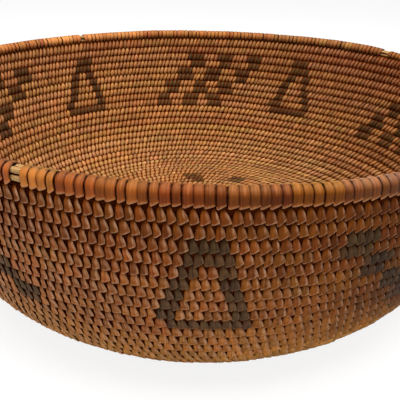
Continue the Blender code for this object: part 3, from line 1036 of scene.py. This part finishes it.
def build_rim_grass():
    """The rim's bundle, and the stems on it that show where wraps are lost."""
    turns = np.linspace(RIM_START, 0.0, RIM_STITCHES * RINGS_PER_STITCH + 1)
    share = rim_share(turns)
    make_tube("rim_bundle", turns, (rim_up(turns) - RIM_BUNDLE_DROP * share, 0 * turns),
              (RIM_BUNDLE_TALL * share, RIM_BUNDLE_DEEP * share), RIM_BUNDLE_SIDES,
              SHADED_GRASS, "grass_bundle", ["rim_coil"])
    stitch = (RIM_START - turns) * RIM_STITCHES - 0.5
    covered = np.min([np.abs(stitch - lost) for lost in LOST_STITCHES], axis=0)
    bare = 1 - smooth_step(covered, *BARE_STITCHES)[:, None]
    # Painted shade on the stems where wraps cover them, none where wraps are lost
    tint_and_painted_light = COVERED_SHADE + (1 - COVERED_SHADE) * bare
    for number, (up, out, radius) in enumerate(RIM_STEMS, 1):
        wander = sum(size * np.sin(turns * (waves + more * number) + phase * number)
                     for size, waves, more, phase in STEM_WANDER)
        thick = radius * MM * share
        middle = (rim_up(turns) + (up + wander) * MM * share, (out - wander) * MM * share)
        make_tube(f"rim_stem_{number}", turns, middle, (thick, thick), STEM_SIDES,
                  RIM_GRASS, "grass_bundle", ["rim_coil"], shade=tint_and_painted_light)


def rim_tones(stitches):
    """Tones of rim wraps, with a few fresh and a few golden ones among them."""
    tones = (1 - MEAN_TONE_SHARE) * runs(len(stitches), RIM_TONES, *RIM_RUNS)
    tones = tones + MEAN_TONE_SHARE * RIM_TONES.mean(0)
    fresh = np.isin(stitches, FRESH_STITCHES)
    tones[fresh] = FRESH_TONE * rng.uniform(*FRESH_CHANGE, (int(fresh.sum()), 1))
    tones[np.isin(stitches, GOLDEN_STITCHES)] = GOLDEN_TONE
    return tones


def rim_tone_shares(turns):
    """Shares of the rim's tones everywhere, on its outer face and on its inner face."""
    azimuth = azimuth_at(turns)[:, None]
    tone = RIM_SHARE
    outer = np.ones((len(turns), 3))
    inner = np.ones((len(turns), 3))
    for centre, width, to_tone, to_outer, to_inner in RIM_PATCHES:
        here = near(azimuth, centre, width)
        tone = tone + here * np.array(to_tone)
        outer = outer + here * to_outer
        inner = inner + here * np.array(to_inner)
    return tone, outer, inner * RIM_INNER_SHARE


def build_rim_wraps():
    """The strands wrapped round the rim, each without the wraps that it has lost."""
    per_strand = RIM_STITCHES // RIM_STRANDS
    for number in range(1, RIM_STRANDS + 1):
        first = (number - 1) * per_strand
        kept = [stitch for stitch in range(first, first + per_strand) if stitch not in LOST_STITCHES]
        turns = RIM_START - (np.array(kept) + 0.5) / RIM_STITCHES
        pitch = 2 * math.pi * profile(distance_at(turns))[0] / RIM_STITCHES
        tones = rim_tones(kept)
        tone_share, *shares = rim_tone_shares(turns)
        chance = chances(len(kept), RIM_SLANT, RIM_LOOSE)
        make_stitches(f"rim_wrap_{number:02d}", RIM_KIND, turns, pitch, tones * tone_share, shares,
                      chance, rim_up(turns), rim_share(turns),
                      RIM_FIBRE, [f"rim_strand_{number:02d}"])


# Floor, light and camera


def make_floor():
    """Pale paper: it catches the shadow, and the camera sees it almost white."""
    mesh = bpy.data.meshes.new("floor")
    far = FLOOR_REACH
    mesh.from_pydata([(-far, -far, 0), (far, -far, 0), (far, far, 0), (-far, far, 0)], [],
                     [(0, 1, 2, 3)])
    floor = bpy.data.objects.new("floor", mesh)
    bpy.context.scene.collection.objects.link(floor)
    material, tree, shader = new_material("floor_paper")
    shader.inputs["Base Color"].default_value = rgba(FLOOR_GREY, FLOOR_GREY, FLOOR_GREY)
    shader.inputs["Roughness"].default_value = FLOOR_ROUGHNESS
    glow = add(tree, "ShaderNodeEmission", {"Color": rgba(1, 1, 1), "Strength": SEEN_FLOOR_GLOW})
    grey = rgba(SEEN_FLOOR_GREY, SEEN_FLOOR_GREY, SEEN_FLOOR_GREY)
    paper = add(tree, "ShaderNodeBsdfDiffuse", {"Color": grey})
    lit = add(tree, "ShaderNodeAddShader", {0: glow.outputs[0], 1: paper.outputs[0]})
    seen = add(tree, "ShaderNodeLightPath").outputs["Is Camera Ray"]
    both = add(tree, "ShaderNodeMixShader", {0: seen, 1: shader.outputs[0], 2: lit.outputs[0]})
    tree.links.new(both.outputs[0], tree.nodes["Material Output"].inputs["Surface"])
    mesh.materials.append(material)


def make_light():
    """A large lamp over the near rim, and a world that the camera sees as white."""
    world = bpy.data.worlds.new("studio")
    bpy.context.scene.world = world
    world.use_nodes = True
    tree = world.node_tree
    back = tree.nodes["Background"]
    back.inputs["Color"].default_value = rgba(1.0, 1.0, 1.0)
    seen = add(tree, "ShaderNodeLightPath").outputs["Is Camera Ray"]
    tree.links.new(ramp(tree, seen, (0.0, 1.0), WORLD_LIGHT, 1.0), back.inputs["Strength"])
    data = bpy.data.lights.new("key", "AREA")
    data.shape = "SQUARE"
    data.size = LAMP_SIZE
    data.energy = LAMP_POWER
    lamp = bpy.data.objects.new("key", data)
    lamp.location = LAMP_PLACE
    lamp.rotation_euler = (Vector(LAMP_AIM) - Vector(LAMP_PLACE)).to_track_quat("-Z", "Y").to_euler()
    bpy.context.scene.collection.objects.link(lamp)


def make_camera():
    data = bpy.data.cameras.new("camera")
    data.sensor_fit = "HORIZONTAL"
    data.sensor_width = SENSOR
    data.lens = SENSOR * FOCAL_PIXELS / PHOTO_PIXELS
    data.shift_x = -CENTRE_PIXELS[0] / PHOTO_PIXELS
    data.shift_y = -CENTRE_PIXELS[1] / PHOTO_PIXELS
    data.clip_start, data.clip_end = CAMERA_REACH
    camera = bpy.data.objects.new("camera", data)
    pitch, roll = CAMERA_PITCH, CAMERA_ROLL
    forward = Vector((0.0, math.cos(pitch), -math.sin(pitch)))
    right = Vector((math.cos(roll), math.sin(pitch) * math.sin(roll), math.cos(pitch) * math.sin(roll)))
    up = right.cross(forward)
    turn = Matrix((right, up, -forward)).transposed().to_4x4()
    camera.matrix_world = Matrix.Translation(Vector(CAMERA_PLACE)) @ turn
    bpy.context.scene.collection.objects.link(camera)
    bpy.context.scene.camera = camera


build_wall()
build_bundles()
build_rim_grass()
build_rim_wraps()
make_floor()
make_light()
make_camera()
bpy.context.scene.view_settings.view_transform = "Standard"
